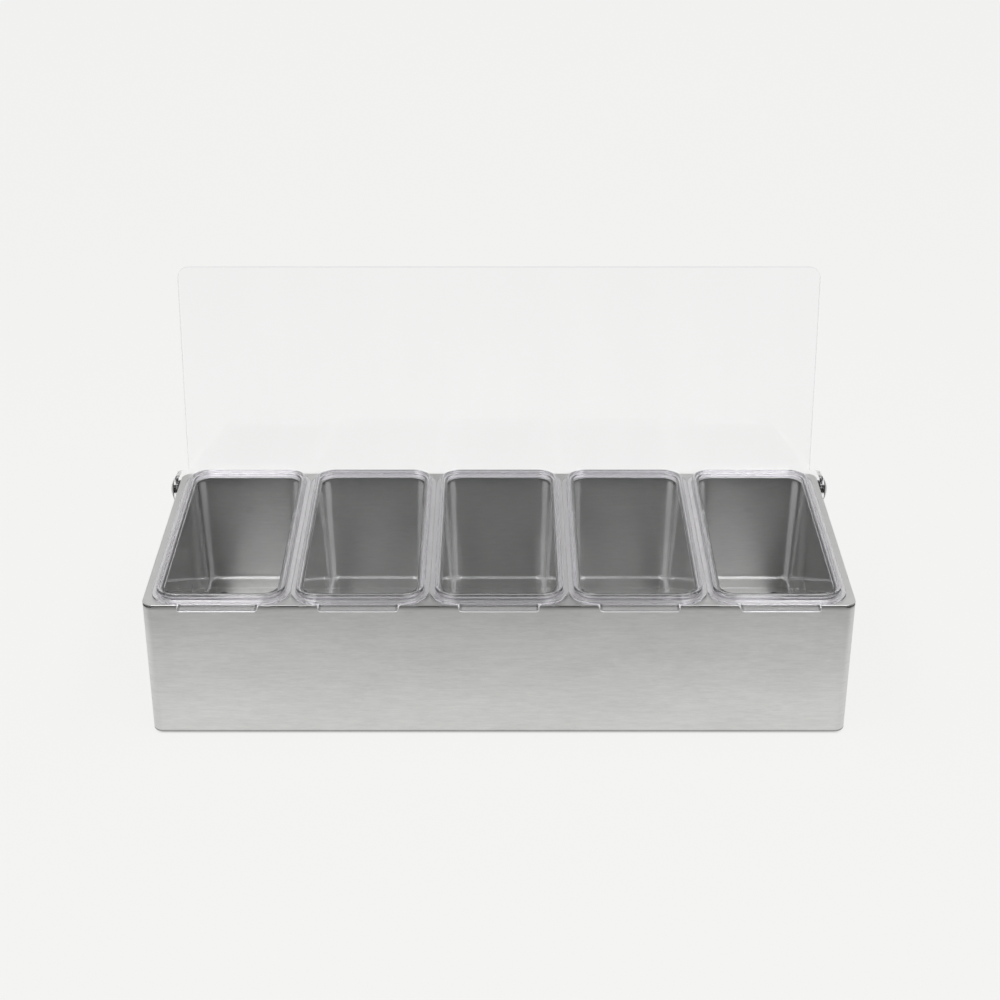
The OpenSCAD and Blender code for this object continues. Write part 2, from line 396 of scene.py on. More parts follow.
class NodeBench:
    """A node tree, with short calls to add and join its nodes. Its lengths are millimetres."""

    def __init__(self, tree: bpy.types.NodeTree, output: str) -> None:
        """Empties the tree and adds its output node.

        Args:
            tree: The node tree.
            output: Blender's name for the output node.
        """
        self.nodes = tree.nodes
        self.links = tree.links
        self.nodes.clear()
        self.output = self.add(output, {})

    def add(
        self, kind: str, inputs: dict[str | int, object], **settings: object
    ) -> bpy.types.Node:
        """Adds one node.

        Args:
            kind: Blender's name for the node.
            inputs: A value or another node's socket for each input.
            settings: The node's own options.

        Returns:
            The node.
        """
        node = self.nodes.new(kind)
        for option, choice in settings.items():
            setattr(node, option, choice)
        for key, value in inputs.items():
            if isinstance(value, Socket):
                self.links.new(value, node.inputs[key])
            else:
                node.inputs[key].default_value = value
        return node

    def maths(self, operation: str, *values: float | Socket) -> Socket:
        """One sum on one, two or three values or sockets."""
        return self.add("ShaderNodeMath", dict(enumerate(values)), operation=operation).outputs[0]

    def chained(self, operation: str, *values: float | Socket) -> Socket:
        """The same sum on any number of values or sockets, from first to last.

        Args:
            operation: Blender's name for the sum.
            values: The values or sockets.

        Returns:
            The socket with the result.
        """
        result, *others = values
        for value in others:
            result = self.maths(operation, result, value)
        return result

    def product(self, *values: float | Socket) -> Socket:
        """Multiplies values or sockets."""
        return self.chained("MULTIPLY", *values)

    def total(self, *values: float | Socket) -> Socket:
        """Adds values or sockets up."""
        return self.chained("ADD", *values)

    def largest(self, *values: float | Socket) -> Socket:
        """The largest of the values or sockets."""
        return self.chained("MAXIMUM", *values)

    def fade(self, value: Socket, fade: Fade) -> Socket:
        """Maps a value through a fade.

        Args:
            value: The socket to map.
            fade: Where it starts and ends, and its level there.

        Returns:
            The socket with the level.
        """
        sizes = {0: value, 1: fade.start, 2: fade.end, 3: fade.low, 4: fade.high}
        return self.add("ShaderNodeMapRange", sizes).outputs[0]

    def spread(self, pattern: Socket, low: float, high: float) -> Socket:
        """Maps the middle part of a cloudy pattern onto a range."""
        return self.fade(pattern, Fade(0.3, 0.7, low, high))

    def curve(self, value: Socket, points: tuple[tuple[float, float], ...]) -> Socket:
        """Maps a value between 0 and 1 through a smooth curve.

        Args:
            value: The socket to map.
            points: The curve's points; its highest level may be over 1.

        Returns:
            The socket with the mapped value.
        """
        top = max(level for _, level in points)
        node = self.add("ShaderNodeFloatCurve", {"Value": value})
        line = node.mapping.curves[0]
        for n, (at, level) in enumerate(points):
            if n < 2:
                line.points[n].location = (at, level / top)
            else:
                line.points.new(at, level / top)
        node.mapping.update()
        return self.product(node.outputs[0], top)

    def place(self) -> tuple[Socket, ...]:
        """The point's own x, y and z, in the frame's coordinates at rest.

        Returns:
            The three sockets.
        """
        place = self.add("ShaderNodeTexCoord", {}).outputs["Object"]
        scaled = self.add("ShaderNodeVectorMath", {0: place, 3: 1 / MM}, operation="SCALE")
        return tuple(self.add("ShaderNodeSeparateXYZ", {0: scaled.outputs[0]}).outputs)

    def off_outline(
        self, outline: RoundedOutline, row_pitch: float = 0.0
    ) -> tuple[Socket, Socket]:
        """How far a point lies outside a rounded outline.

        Args:
            outline: The outline, in the frame's own coordinates and with its middle at x = 0.
            row_pitch: The step at which it repeats along x, or 0 for a single one.

        Returns:
            The distance from the outline, and the distance in front of or behind it.
        """
        x, y, _ = self.place()
        if row_pitch > 0:
            x = self.maths("WRAP", x, row_pitch / 2, -row_pitch / 2)
        across = self.maths("SUBTRACT", self.maths("ABSOLUTE", x), outline.width / 2)
        along = self.maths("ABSOLUTE", self.maths("SUBTRACT", y, outline.y))
        along = self.maths("SUBTRACT", along, outline.depth / 2)
        in_x, in_y = (self.total(part, outline.radius) for part in (across, along))
        flat_part = self.maths("MINIMUM", self.largest(in_x, in_y), 0.0)
        round_part = self.apart(self.largest(in_x, 0.0), self.largest(in_y, 0.0))
        distance = self.total(round_part, flat_part)
        return self.maths("SUBTRACT", distance, outline.radius), along

    def apart(self, *parts: Socket) -> Socket:
        """The length of a line from its parts along the axes."""
        return self.maths("SQRT", self.total(*(self.maths("POWER", p, 2.0) for p in parts)))


class FinishTree(NodeBench):
    """A material's nodes."""

    def __init__(self, name: str) -> None:
        """Starts an empty material.

        Args:
            name: The material's name.
        """
        self.material = bpy.data.materials.new(name)
        self.material.use_nodes = True
        super().__init__(self.material.node_tree, "ShaderNodeOutputMaterial")

    def noise(
        self, scale: Triple, detail: float = 2.0, roughness: float = 0.5, shift: float = 0.0
    ) -> Socket:
        """A cloudy pattern between 0 and 1.

        Args:
            scale: Cycles per metre along x, y and z.
            detail: Finer layers added to it.
            roughness: How strong the finer layers are.
            shift: Moves the pattern, so that two layers differ.

        Returns:
            The socket with its value.
        """
        place = self.add("ShaderNodeTexCoord", {}).outputs["Object"]
        stretched = self.add(
            "ShaderNodeMapping",
            {"Vector": place, "Scale": scale, "Location": (shift, shift, shift)},
        )
        inputs = {"Vector": stretched.outputs["Vector"], "Scale": 1.0}
        inputs |= {"Detail": detail, "Roughness": roughness}
        return self.add("ShaderNodeTexNoise", inputs).outputs["Fac"]

    def shaded(self, colour: Triple | Socket, level: Socket) -> Socket:
        """A colour made lighter or darker by a level."""
        scaled = self.add("ShaderNodeVectorMath", {0: colour, 3: level}, operation="SCALE")
        return scaled.outputs[0]

    def mixed(self, share: Socket, first: Triple | Socket, second: Triple | Socket) -> Socket:
        """Blends one colour into another.

        Args:
            share: How much of the second colour shows.
            first: The colour at share 0.
            second: The colour at share 1.

        Returns:
            The socket with the blended colour.
        """
        ends = [end if isinstance(end, Socket) else (*end, 1.0) for end in (first, second)]
        inputs = {0: share, 6: ends[0], 7: ends[1]}
        return self.add("ShaderNodeMix", inputs, data_type="RGBA").outputs[2]

    def bump(self, height: Socket, depth: float, strength: float = 1.0) -> Socket:
        """Relief from a pattern.

        Args:
            height: The pattern's socket.
            depth: The relief's depth.
            strength: How much of it shows.

        Returns:
            The socket with the normal.
        """
        inputs = {"Height": height, "Distance": depth * MM, "Strength": strength}
        return self.add("ShaderNodeBump", inputs).outputs["Normal"]

    def done(self, shader: bpy.types.Node) -> bpy.types.Material:
        """Ends the tree in that shader and returns the material."""
        self.links.new(shader.outputs[0], self.output.inputs["Surface"])
        return self.material

    def surface(self, inputs: dict[str | int, object]) -> bpy.types.Material:
        """Ends the tree in one solid shader and returns the material."""
        return self.done(self.add("ShaderNodeBsdfPrincipled", inputs))

    def clear_surface(
        self, inputs: dict[str | int, object], let_through: tuple[float, float, float, float]
    ) -> bpy.types.Material:
        """Ends the tree in a clear shader that lets light on to what stands behind it.

        Args:
            inputs: The shader's inputs.
            let_through: The share of light that passes one face, in each colour.

        Returns:
            The material.
        """
        shadow = self.add("ShaderNodeLightPath", {}).outputs["Is Shadow Ray"]
        clear = self.add("ShaderNodeBsdfPrincipled", inputs).outputs[0]
        passing = self.add("ShaderNodeBsdfTransparent", {"Color": let_through}).outputs[0]
        return self.done(self.add("ShaderNodeMixShader", {0: shadow, 1: clear, 2: passing}))


@dataclass(frozen=True)
class BrushedSteel:
    """Stainless sheet with a fine directional brushing, duller on the box's inside, where its
    colour is also painted darker: partly a duller finish, partly painted shade.

    The painted shade bands are bands of the height over the table in which the steel's
    colour is painted darker, standing in for shade.
    """

    name: str
    grain: Grain
    anisotropy: float = 0.85
    colour: Triple = (0.63, 0.63, 0.621)
    inner_dull_and_shade_level: float = 0.7
    roughness: float = 0.33
    inner_roughness: float = 0.4
    rough_drift: float = 0.03
    streak: float = 0.05
    hair: float = 0.03
    cloud: float = 0.03
    cloud_scale: Triple = (16.0, 16.0, 30.0)
    scratch: float = 0.002
    skin: Fade = Fade(-0.6, -0.2)
    top_skin: float = 0.2
    painted_shades: tuple[Fade, ...] = ()

    def material(self, plan: CaddyPlan) -> bpy.types.Material:
        """Builds the finish: fine streaks, finer scratches and soft cloudy patches.

        Args:
            plan: The caddy's main sizes, which tell its inside from its outside.

        Returns:
            The material.
        """
        tree = FinishTree(self.name)
        scale, axis, turn = self.grain.value
        streaks = tree.noise(scale, detail=3.0, roughness=0.6)
        finer = tuple(2 * cycles for cycles in scale)
        hairs = tree.noise(finer, detail=1.0, roughness=0.7, shift=3.1)
        clouds = tree.noise(self.cloud_scale, detail=2.5, shift=7.7)
        z = tree.place()[2]
        under_top = plan.top - plan.sheet
        outside = tree.largest(
            tree.fade(tree.off_outline(plan.outline)[0], self.skin),
            tree.fade(z, Fade(under_top - self.top_skin, under_top + self.top_skin)),
        )
        level = tree.total(
            tree.spread(streaks, -self.streak, self.streak),
            tree.spread(hairs, -self.hair, self.hair),
            tree.spread(clouds, 1 - self.cloud, 1 + self.cloud),
        )
        # painted shade: the colour is darker inside the box and in each painted shade band
        level = tree.product(
            level,
            tree.fade(outside, Fade(0.0, 1.0, self.inner_dull_and_shade_level, 1.0)),
            *(tree.fade(z, shade) for shade in self.painted_shades),
        )
        rough = tree.total(
            tree.spread(hairs, -self.rough_drift, self.rough_drift),
            tree.fade(outside, Fade(0.0, 1.0, self.inner_roughness, self.roughness)),
        )
        tangent = tree.add("ShaderNodeTangent", {}, direction_type="RADIAL", axis=axis)
        return tree.surface(
            {
                "Base Color": tree.shaded(self.colour, level),
                "Metallic": 1.0,
                "Roughness": rough,
                "Anisotropic": self.anisotropy,
                "Anisotropic Rotation": turn,
                "Tangent": tangent.outputs[0],
                "Normal": tree.bump(tree.total(streaks, hairs), self.scratch),
            }
        )


class ClearTree(FinishTree):
    """A clear plastic's nodes, with the patterns and masks that its finishes share."""

    def __init__(self, name: str, edges: Fade, flat_way: Triple) -> None:
        """Starts the material and draws the patterns and masks.

        Args:
            name: The material's name.
            edges: The heights over which the treatment of edges sets in.
            flat_way: The direction that the piece's flat faces look in.
        """
        super().__init__(name)
        self.flow = self.noise((26.0, 26.0, 9.0))
        self.haze = self.noise((120.0, 120.0, 60.0), detail=3.0, shift=4.3)
        self.high = self.fade(self.place()[2], edges)
        way = self.add("ShaderNodeTexCoord", {}).outputs["Normal"]
        parts = self.add("ShaderNodeSeparateXYZ", {0: way}).outputs
        self.ways = [self.maths("ABSOLUTE", part) for part in parts]
        along = self.add("ShaderNodeVectorMath", {0: way, 1: flat_way}, operation="DOT_PRODUCT")
        self.flatness = self.maths("ABSOLUTE", along.outputs["Value"])


@dataclass(frozen=True, kw_only=True)
class ClearPlastic:
    """Clear plastic with faint flow lines and haze, and with a finish of its own on its edges.

    A face is steep where it turns away from flat_way, the direction of the piece's flat
    faces. The steep faces over edges_from are painted darker as painted shade, and the
    steepest may be frosted.
    """

    name: str
    tint: Triple
    painted_edge_shade: Triple
    ior: float
    roughness: float
    flow_depth: float
    edges_from: float
    edges_run: float = 2.0
    flat_way: Triple = (0.0, 0.0, 1.0)
    steep_from: Fade = Fade(0.75, 0.95, 1.0, 0.0)
    frost_from: Fade = Fade(0.55, 0.7, 1.0, 0.0)
    frost_roughness: float = 0.35
    flow_level: tuple[float, float] = (0.988, 1.0)
    flow_strength: float = 0.6
    haze_shares: tuple[float, float] = (0.6, 1.5)
    let_through: tuple[float, float, float, float] = (0.95, 0.95, 0.955, 1.0)

    def start(self) -> ClearTree:
        """Starts the material's nodes."""
        edges = Fade(self.edges_from, self.edges_from + self.edges_run)
        return ClearTree(self.name, edges, self.flat_way)

    def steep(self, tree: ClearTree) -> Socket:
        """Masks the steep faces."""
        return tree.product(tree.high, tree.fade(tree.flatness, self.steep_from))

    def frosted(self, tree: ClearTree) -> Socket:
        """Masks the faces that are steep enough for frosting."""
        return tree.product(tree.high, tree.fade(tree.flatness, self.frost_from))

    def finished(
        self, tree: ClearTree, tint: Socket, frost: Socket, clear: float | Socket
    ) -> bpy.types.Material:
        """Ends the material: a tint that drifts a little, faint haze and shallow flow lines.

        Args:
            tree: The material's nodes.
            tint: The tint.
            frost: The mask of the frosting.
            clear: How clear the plastic is, from 0 to 1.

        Returns:
            The material.
        """
        low, high = (self.roughness * share for share in self.haze_shares)
        rough = tree.largest(
            tree.spread(tree.haze, low, high), tree.product(frost, self.frost_roughness)
        )
        return tree.clear_surface(
            {
                "Base Color": tree.shaded(tint, tree.spread(tree.flow, *self.flow_level)),
                "Roughness": rough,
                "IOR": self.ior,
                "Transmission Weight": clear,
                "Normal": tree.bump(tree.flow, self.flow_depth, self.flow_strength),
            },
            self.let_through,
        )


@dataclass(frozen=True, kw_only=True)
class ClearMoulding(ClearPlastic):
    """The inserts' plastic, more tinted over its thick rim.

    The thumb tab has a painted highlight line along its edge and a band of painted shade
    inside it, and where the tub's walls bend they carry a faint pale wash of painted highlight.
    """

    thick_tint: Triple
    rim: RoundedOutline
    tab: RoundedOutline
    row_pitch: float
    rim_part: Fade = Fade(-6.0, -5.7)
    tab_part: Fade = Fade(0.5, 1.1)
    line: Fade = Fade(-0.8, -0.6)
    painted_line_highlight: float = 0.37
    band: Fade = Fade(-2.3, -2.1)
    painted_band_shade: float = 0.55
    painted_bend_highlight: Fade = Fade(0.82, 0.94, 0.19, 0.0)
    bend_drift: tuple[float, float] = (0.6, 1.3)

    def material(self) -> bpy.types.Material:
        """Builds the finish.

        Returns:
            The material.
        """
        tree = self.start()
        off_rim, _ = tree.off_outline(self.rim, self.row_pitch)
        off_tab, _ = tree.off_outline(self.tab, self.row_pitch)
        on_tab = tree.fade(off_rim, self.tab_part)
        # painted highlight line along the tab's edge, with a band of painted shade inside it
        line = tree.fade(off_tab, self.line)
        band = tree.maths("SUBTRACT", tree.fade(off_tab, self.band), line)
        dark = tree.fade(tree.product(on_tab, band), Fade(0.0, 1.0, 1.0, self.painted_band_shade))
        steep = tree.product(self.steep(tree), tree.fade(off_rim, self.rim_part))
        frost = tree.product(self.frosted(tree), on_tab)
        tint = tree.mixed(tree.high, self.tint, self.thick_tint)
        # painted shade: the rim's steep faces are darkened
        tint = tree.mixed(steep, tint, self.painted_edge_shade)
        tint = tree.mixed(frost, tint, WHITE)
        tint = tree.shaded(tint, tree.largest(dark, frost))
        # painted highlight: a pale wash where the tub's walls bend, from a share of diffuse
        painted_bend_highlight = tree.product(
            tree.fade(tree.largest(*tree.ways), self.painted_bend_highlight),
            tree.maths("SUBTRACT", 1.0, tree.high),
            tree.spread(tree.flow, *self.bend_drift),
        )
        painted_highlight = tree.largest(painted_bend_highlight, tree.product(on_tab, line, self.painted_line_highlight, tree.high))
        return self.finished(tree, tint, frost, tree.maths("SUBTRACT", 1.0, painted_highlight))


@dataclass(frozen=True, kw_only=True)
class ClearSheet(ClearPlastic):
    """The cover's plastic: frosted on its cut edges, with painted shade on those edges, and
    painted near-black shade where black washers grip it.
    """

    painted_frost_shade: Triple
    painted_side_shade: Triple
    pivot: tuple[float, float]
    sideways: Fade = Fade(0.5, 0.8)
    ears: Fade = Fade(238.3, 238.5)
    grip: Fade = Fade(6.4, 6.6, 1.0, 0.0)
    painted_washer_shade_level: float = 0.02

    def painted_washer_shade(self, tree: ClearTree) -> Socket:
        """The level of the painted shade, low in the rounds that the washers cover.

        Args:
            tree: The material's nodes.

        Returns:
            The socket with the level.
        """
        x, *others = tree.place()
        off_axis = tree.apart(
            *(tree.maths("SUBTRACT", at, middle) for at, middle in zip(others, self.pivot))
        )
        round_part = tree.fade(off_axis, self.grip)
        ears = tree.fade(tree.maths("ABSOLUTE", x), self.ears)
        return tree.fade(tree.product(round_part, ears), Fade(0.0, 1.0, 1.0, self.painted_washer_shade_level))

    def material(self) -> bpy.types.Material:
        """Builds the finish.

        Returns:
            The material.
        """
        tree = self.start()
        frost = self.frosted(tree)
        # painted shade on the frosted cut edges, nearly black on the sideways ones
        edge = tree.mixed(
            tree.fade(tree.ways[0], self.sideways), self.painted_frost_shade, self.painted_side_shade
        )
        # painted shade: the cover's steep faces are darkened
        tint = tree.mixed(self.steep(tree), self.tint, self.painted_edge_shade)
        tint = tree.shaded(tree.mixed(frost, tint, edge), self.painted_washer_shade(tree))
        return self.finished(tree, tint, frost, 1.0)


@dataclass(frozen=True)
class PolishedScrew:
    """Bright plated steel with small scuffs."""

    name: str
    colour: Triple = (0.76, 0.76, 0.75)
    roughness: tuple[float, float] = (0.27, 0.42)
    scuff_scale: Triple = (900.0, 900.0, 900.0)
    scuff_depth: float = 0.01
    scuff_strength: float = 0.4
    wear_scale: Triple = (160.0, 160.0, 160.0)
    wear: tuple[float, float] = (0.92, 1.03)

    def material(self) -> bpy.types.Material:
        """Builds the finish.

        Returns:
            The material.
        """
        tree = FinishTree(self.name)
        scuffs = tree.noise(self.scuff_scale, detail=4.0, roughness=0.65)
        wear = tree.noise(self.wear_scale, shift=2.2)
        return tree.surface(
            {
                "Base Color": tree.shaded(self.colour, tree.spread(wear, *self.wear)),
                "Metallic": 1.0,
                "Roughness": tree.spread(scuffs, *self.roughness),
                "Normal": tree.bump(scuffs, self.scuff_depth, self.scuff_strength),
            }
        )


@dataclass(frozen=True)
class DarkPolymer:
    """A black nylon or rubber with a fine moulded grain, greyed a little by dust."""

    name: str
    colour: Triple
    roughness: float
    grain_depth: float
    grain_scale: Triple = (2600.0, 2600.0, 2600.0)
    grain_strength: float = 0.5
    dust_scale: Triple = (220.0, 220.0, 220.0)
    dust: tuple[float, float] = (0.85, 1.35)
    rough_drift: float = 0.06

    def material(self) -> bpy.types.Material:
        """Builds the finish.

        Returns:
            The material.
        """
        tree = FinishTree(self.name)
        grain = tree.noise(self.grain_scale)
        dust = tree.noise(self.dust_scale, detail=3.0, shift=5.9)
        low, high = self.roughness - self.rough_drift, self.roughness + self.rough_drift
        return tree.surface(
            {
                "Base Color": tree.shaded(self.colour, tree.spread(dust, *self.dust)),
                "Roughness": tree.spread(dust, low, high),
                "Normal": tree.bump(grain, self.grain_depth, self.grain_strength),
            }
        )


@dataclass(frozen=True)
class StudioPaper:
    """The pale matt paper that the caddy stands on, lit through from below.

    In the steel's reflections its glow is painted brighter close to the box and dimmer
    further out, and all over it is painted a little brighter towards the back.
    """

    name: str
    plan: CaddyPlan
    colour: Triple = (0.875, 0.875, 0.86)
    glow: tuple[float, float, float, float] = (0.905, 0.905, 0.896, 1.0)
    tooth_scale: Triple = (700.0, 700.0, 700.0)
    tooth: tuple[float, float] = (0.998, 1.002)
    shadow_seen: float = 0.08
    shadow_mirrored: float = 0.12
    under: Fade = Fade(-4.5, -0.5)
    # painted reflection: the paper's glow in mirrored rays, raised close to the box and dimmed
    # further out
    near: Fade = Fade(50.0, 190.0, 1.05, 0.38)
    painted_far_glow: Fade = Fade(450.0, 750.0, 0.0, 0.62)
    # painted light: the paper's glow grows a little towards the back
    drift: Fade = Fade(-800.0, 1500.0, 0.988, 1.022)

    def material(self) -> bpy.types.Material:
        """Builds the paper: matt with a faint tooth, and with faint shadows.

        Returns:
            The material.
        """
        tree = FinishTree(self.name)
        tooth = tree.spread(tree.noise(self.tooth_scale), *self.tooth)
        matt = tree.add(
            "ShaderNodeBsdfPrincipled",
            {
                "Base Color": tree.shaded(self.colour, tooth),
                "Roughness": 0.9,
                "Specular IOR Level": 0.1,
            },
        )
        path = tree.add("ShaderNodeLightPath", {}).outputs
        indirect = tree.largest(path["Is Glossy Ray"], path["Is Transmission Ray"])
        mirrored = tree.maths("SUBTRACT", indirect, path["Is Transmission Ray"])
        distance, along = tree.off_outline(self.plan.outline)
        # painted reflection: glow in mirrored rays set by the distance in front of the box
        painted_reflection_glow = tree.total(tree.fade(along, self.near), tree.fade(along, self.painted_far_glow))
        change = tree.maths("SUBTRACT", painted_reflection_glow, 1.0)
        level = tree.product(
            tree.maths("MULTIPLY_ADD", mirrored, change, 1.0),
            tree.fade(tree.place()[1], self.drift),
        )
        lit = tree.add("ShaderNodeEmission", {"Color": self.glow, "Strength": level})
        share = tree.maths(
            "MULTIPLY_ADD",
            path["Is Camera Ray"],
            1 - self.shadow_seen,
            tree.product(indirect, 1 - self.shadow_mirrored),
        )
        share = tree.product(share, tree.fade(distance, self.under))
        inputs = {0: share, 1: matt.outputs[0], 2: lit.outputs[0]}
        return tree.done(tree.add("ShaderNodeMixShader", inputs))


# ---- sub-assemblies ----


class SubAssembly:
    """Shared steps for handing a finished piece over."""

    plan: CaddyPlan

    def hand_over(
        self,
        piece: bpy.types.Object,
        node: str,
        body: str,
        slot: Slot,
        finish: bpy.types.Material,
    ) -> None:
        """Dresses a piece and puts it in its node's place.

        Args:
            piece: The made piece.
            node: The frame's node that it stands for.
            body: The body that it rides on.
            slot: The record's slot for its finish; not used.
            finish: Its material.
        """
        piece.data.transform(Matrix.Translation((0, -self.plan.middle_y * MM, 0)))
        piece.data.materials.clear()
        piece.data.materials.append(finish)
        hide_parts(node)
        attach(piece, body)
        faces = len(piece.data.polygons)
        LOG.info("%s stands for %s on %s, %d faces", piece.name, node, body, faces)


@dataclass
class SteelBox(SubAssembly):
    """The walls, the pierced top and the base pan."""

    plan: CaddyPlan
    seam_gap: float = 0.55
    corner_relief: float = 0.7
    pan_edge: float = 10.0
    pan_bend: float = 1.0
    fit: float = 0.05
    flange_height: float = 8.0
    flange_length: float = 14.0
    side_strip: float = 4.75
    opening: RoundedOutline = RoundedOutline(80.8, 181.2, 12.0)
    flange_lap: float = 0.2
    flange_soften: float = 0.15
    outer_edge: tuple[float, float] = (0.62, 0.1)
    hole_edge: tuple[float, float] = (0.3, 0.1)
    wall_edge: float = 0.2
    pan_lip: float = 0.25
    floor_margin: float = 6.0
    stem_hole: float = 3.05
    bore: float = 2.05
    arc_steps: int = 16
    wall_finish: BrushedSteel = BrushedSteel(
        "steel_walls",
        Grain.ROUND_THE_WALLS,
        # painted shade: under the top's seam, in a band below the rims, and along the walls' foot
        painted_shades=(
            Fade(101.05, 98.4, 0.45, 1.0),
            Fade(97.0, 76.0, 0.91, 1.0),
            Fade(2.9, 3.4, 0.5, 1.0),
        ),
    )
    top_finish: BrushedSteel = BrushedSteel(
        "steel_top",
        Grain.ALONG_THE_TOP,
        streak=0.02,
        hair=0.01,
        scratch=0.0005,
        # painted shade on the top sheet's front edge, over the seam
        painted_shades=(Fade(102.0, 102.3, 0.3, 1.0),),
    )
    # the base's inside is darker: partly a duller finish, partly painted shade
    pan_finish: BrushedSteel = BrushedSteel(
        "steel_base", Grain.ALONG_THE_TOP, anisotropy=1.0, inner_dull_and_shade_level=0.8
    )

    def outline(self, inset: float) -> RoundedOutline:
        """The box's outline, moved inwards."""
        plan = self.plan
        return RoundedOutline(plan.width, plan.depth, plan.corner_radius).grown(-inset)

    def walls(self) -> bpy.types.Object:
        """Draws the four walls as one bent sheet, lower at its corners, with the hinge bores.

        Returns:
            The walls.
        """
        sheet, edge = self.plan.sheet, self.wall_edge
        low = self.plan.foot_height
        high = self.plan.top - sheet - self.seam_gap
        middle = (low + high) / 2
        section = softened(
            [
                Corner(0, middle),
                Corner(0, high, edge),
                Corner(sheet, high, edge),
                Corner(sheet, low, edge),
                Corner(0, low, edge),
                Corner(0, middle - 1),
            ],
            3,
        )
        rings = [self.outline(c.across).points(c.z, self.arc_steps) for c in section]
        for spot, points in zip(section, rings):
            if spot.z > middle:
                self.lower_corners(points)
        draft = MeshDraft()
        draft.loft(rings, closed=True)
        piece = draft.piece("box_walls")
        for side in Side:
            cutter = MeshDraft()
            place = hinge_place(self.plan, side) @ Matrix.Translation((0, 0, -2 * sheet))
            cutter.turn([(0, 0), (self.bore, 0), (self.bore, 3 * sheet), (0, 3 * sheet)], place)
            cut_away(piece, cutter.piece("bore_cutter"))
        smooth(piece)
        return piece

    def lower_corners(self, points: list[Vector]) -> None:
        """Lowers the points inside the four corner arcs by the corner relief.

        Args:
            points: One ring near the walls' upper edge, changed in place.
        """
        stride = len(points) // 4
        for quarter in range(4):
            for k in range(1, self.arc_steps):
                points[quarter * stride + k].z -= self.corner_relief

    def edged_hole(
        self, draft: MeshDraft, hole: RoundedOutline, low: float, high: float, outer: bool
    ) -> tuple[Ring, Ring]:
        """Draws the softened edge of a sheet, round its outside or round a hole.

        Args:
            draft: The mesh that it goes into.
            hole: The edge's outline.
            low: The sheet's underside.
            high: The sheet's upper side.
            outer: Whether the sheet lies inside the outline.

        Returns:
            The rings where the edge meets the upper side and the underside.
        """
        upper, lower = self.outer_edge if outer else self.hole_edge
        flat = (-1.4 if outer else 1.4) * upper
        section = softened(
            [Corner(flat, high), Corner(0, high, upper), Corner(0, low, lower), Corner(flat, low)],
            5,
        )
        rings = draft.loft([hole.grown(c.across).points(c.z, self.arc_steps) for c in section])
        return rings[0], rings[-1]

    def top(self) -> bpy.types.Object:
        """Draws the pierced top sheet with its weld flanges.

        Returns:
            The top.
        """
        plan, draft = self.plan, MeshDraft()
        high = plan.top
        low = high - plan.sheet
        pitch = (plan.width - 2 * self.side_strip) / 5
        edges = [self.edged_hole(draft, self.outline(0), low, high, outer=True)]
        for place in range(-2, 3):
            hole = replace(self.opening, x=place * pitch)
            edges.append(self.edged_hole(draft, hole, low, high, outer=False))
        draft.fill([upper for upper, _ in edges])
        draft.fill([lower for _, lower in edges])
        reach_x = plan.width / 2 - plan.sheet - self.fit
        reach_y = plan.depth / 2 - plan.sheet - self.fit
        half, half_y = self.flange_length / 2, plan.depth / 4
        flanges = [((reach_x, half_y), (reach_x - plan.sheet, -half_y))]
        for number in range(4):
            x = (number - 1.5) * pitch
            flanges.append(((x + half, reach_y), (x - half, reach_y - plan.sheet)))
        for sign in (-1, 1):
            for end, side in flanges:
                first = Vector((sign * end[0], sign * end[1], low - self.flange_height))
                second = Vector((sign * side[0], sign * side[1], low + self.flange_lap))
                corners = (Vector(map(pick, first, second)) for pick in (min, max))
                draft.slab(*corners, self.flange_soften)
        piece = draft.piece("box_top")
        smooth(piece)
        return piece

    def base(self) -> bpy.types.Object:
        """Draws the base pan with its turned-up edge and the holes for the feet.

        Returns:
            The pan.
        """
        plan, draft = self.plan, MeshDraft()
        low, sheet, inset = plan.foot_height, plan.sheet, plan.sheet + self.fit
        high = low + self.pan_edge
        section = softened(
            [
                Corner(inset + self.floor_margin, low),
                Corner(inset, low, self.pan_bend + sheet),
                Corner(inset, high, self.pan_lip),
                Corner(inset + sheet, high, self.pan_lip),
                Corner(inset + sheet, low + sheet, self.pan_bend),
                Corner(inset + self.floor_margin, low + sheet),
            ],
            5,
        )
        rings = draft.loft([self.outline(c.across).points(c.z, self.arc_steps) for c in section])
        under, over = [rings[0]], [rings[-1]]
        across, radius = 2 * self.stem_hole, self.stem_hole * 0.999
        for side in Side:
            for row in Row:
                hole = RoundedOutline(across, across, radius, *plan.foot_middle(side, row))
                made = draft.loft([hole.points(low, 8, 1), hole.points(low + sheet, 8, 1)])
                under.append(made[0])
                over.append(made[-1])
        draft.fill(under)
        draft.fill(over)
        piece = draft.piece("box_base")
        smooth(piece)
        return piece

    def build(self) -> None:
        """Makes and dresses the three steel pieces."""
        for node, draw, finish in (
            ("body_shell", self.walls, self.wall_finish),
            ("top_frame", self.top, self.top_finish),
            ("bottom_pan", self.base, self.pan_finish),
        ):
            steel = finish.material(self.plan)
            self.hand_over(draw(), node, Body.CADDY.value, Slot.STEEL, steel)


